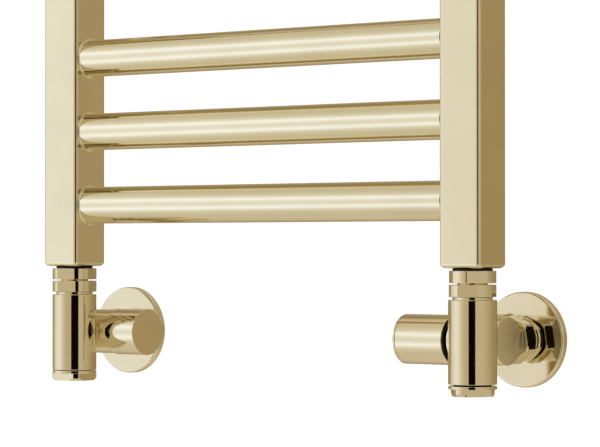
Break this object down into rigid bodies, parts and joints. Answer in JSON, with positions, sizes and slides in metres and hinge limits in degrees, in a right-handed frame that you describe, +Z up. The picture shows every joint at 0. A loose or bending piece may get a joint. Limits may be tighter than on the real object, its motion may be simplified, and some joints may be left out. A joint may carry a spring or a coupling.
{
  "type": "towel warmer rack",
  "caption": "Wall-hung hot-water towel warmer with square uprights, round rails in three groups and a corner valve under each upright.",
  "frame": {"origin": "centre of the four wall screws, on the wall plane", "axes": "+Y into the wall, +Z up, +X to the right as seen from the room"},
  "size_m": [0.39, 0.075, 0.8655],
  "materials": {
    "rack_brass": "polished light gold",
    "fitting_brass": "polished light gold",
    "raw_brass": "as machined",
    "stainless_steel": "satin",
    "black_plastic": "moulded, matt",
    "black_rubber": "matt"
  },
  "bodies": {
    "rack": {"left_upright": "rack_brass", "right_upright": "rack_brass", "rail_01": "rack_brass", "rail_02": "rack_brass", "rail_03": "rack_brass", "rail_04": "rack_brass", "rail_05": "rack_brass", "rail_06": "rack_brass", "rail_07": "rack_brass", "rail_08": "rack_brass", "rail_09": "rack_brass", "rail_10": "rack_brass", "rail_11": "rack_brass", "left_braze_rings": "rack_brass", "right_braze_rings": "rack_brass", "vent_plug": "fitting_brass", "blanking_plug": "fitting_brass", "top_plug_seals": "black_rubber", "lower_left_wall_flange": "fitting_brass", "lower_right_wall_flange": "fitting_brass", "upper_left_wall_flange": "fitting_brass", "upper_right_wall_flange": "fitting_brass", "lower_left_post": "fitting_brass", "lower_right_post": "fitting_brass", "upper_left_post": "fitting_brass", "upper_right_post": "fitting_brass", "threaded_inserts": "raw_brass", "grub_screws": "stainless_steel", "left_tail": "raw_brass", "right_tail": "raw_brass", "left_lock_nut": "fitting_brass", "right_lock_nut": "fitting_brass", "left_union_nut": "fitting_brass", "right_union_nut": "fitting_brass", "left_valve_body": "fitting_brass", "right_valve_body": "fitting_brass", "left_bottom_plug": "fitting_brass", "right_bottom_plug": "fitting_brass", "left_compression_nut": "fitting_brass", "right_compression_nut": "fitting_brass", "left_pipe_sleeve": "fitting_brass", "right_pipe_sleeve": "fitting_brass", "left_rosette": "fitting_brass", "right_rosette": "fitting_brass", "left_bonnet": "fitting_brass", "right_bonnet": "fitting_brass", "tail_washers": "black_rubber", "union_washers": "black_rubber", "plug_seals": "black_rubber", "olives": "raw_brass"},
    "wheel": {"wheelhead": "fitting_brass", "wheelhead_insert": "black_plastic", "wheelhead_screw": "stainless_steel", "wheelhead_cover": "fitting_brass", "right_spindle": "raw_brass"},
    "right_jumper": {"right_jumper": "raw_brass"},
    "lockshield_cap": {"lockshield_cap": "fitting_brass"},
    "lockshield_spindle": {"left_spindle": "raw_brass"},
    "left_jumper": {"left_jumper": "raw_brass"},
    "bleed_screw": {"bleed_screw": "raw_brass"}
  },
  "joints": [
    {"name": "wheelhead_turn", "type": "hinge", "parent": "rack", "child": "wheel", "pos_m": [0.12, -0.036, -0.4365], "axis": [-1, 0, 0], "range_deg": [0, 720]},
    {"name": "right_jumper_lift", "type": "slide", "parent": "rack", "child": "right_jumper", "axis": [-1, 0, 0], "range_m": [0, 0.00401]},
    {"name": "lockshield_cap_pull", "type": "slide", "parent": "rack", "child": "lockshield_cap", "axis": [1, 0, 0], "range_m": [0, 0.02]},
    {"name": "lockshield_turn", "type": "hinge", "parent": "rack", "child": "lockshield_spindle", "pos_m": [-0.13, -0.036, -0.4365], "axis": [1, 0, 0], "range_deg": [0, 721]},
    {"name": "left_jumper_lift", "type": "slide", "parent": "rack", "child": "left_jumper", "axis": [1, 0, 0], "range_m": [0, 0.004]},
    {"name": "bleed_screw_turn", "type": "hinge", "parent": "rack", "child": "bleed_screw", "pos_m": [0.165, -0.06, 0.39], "axis": [0, 0, 1], "range_deg": [0, 360]}
  ],
  "couplings": [
    {"joint": "right_jumper_lift", "follows": "wheelhead_turn", "m_per_rad": 0.00031831},
    {"joint": "lockshield_turn", "follows": "left_jumper_lift", "rad_per_m": 3141.6}
  ]
}
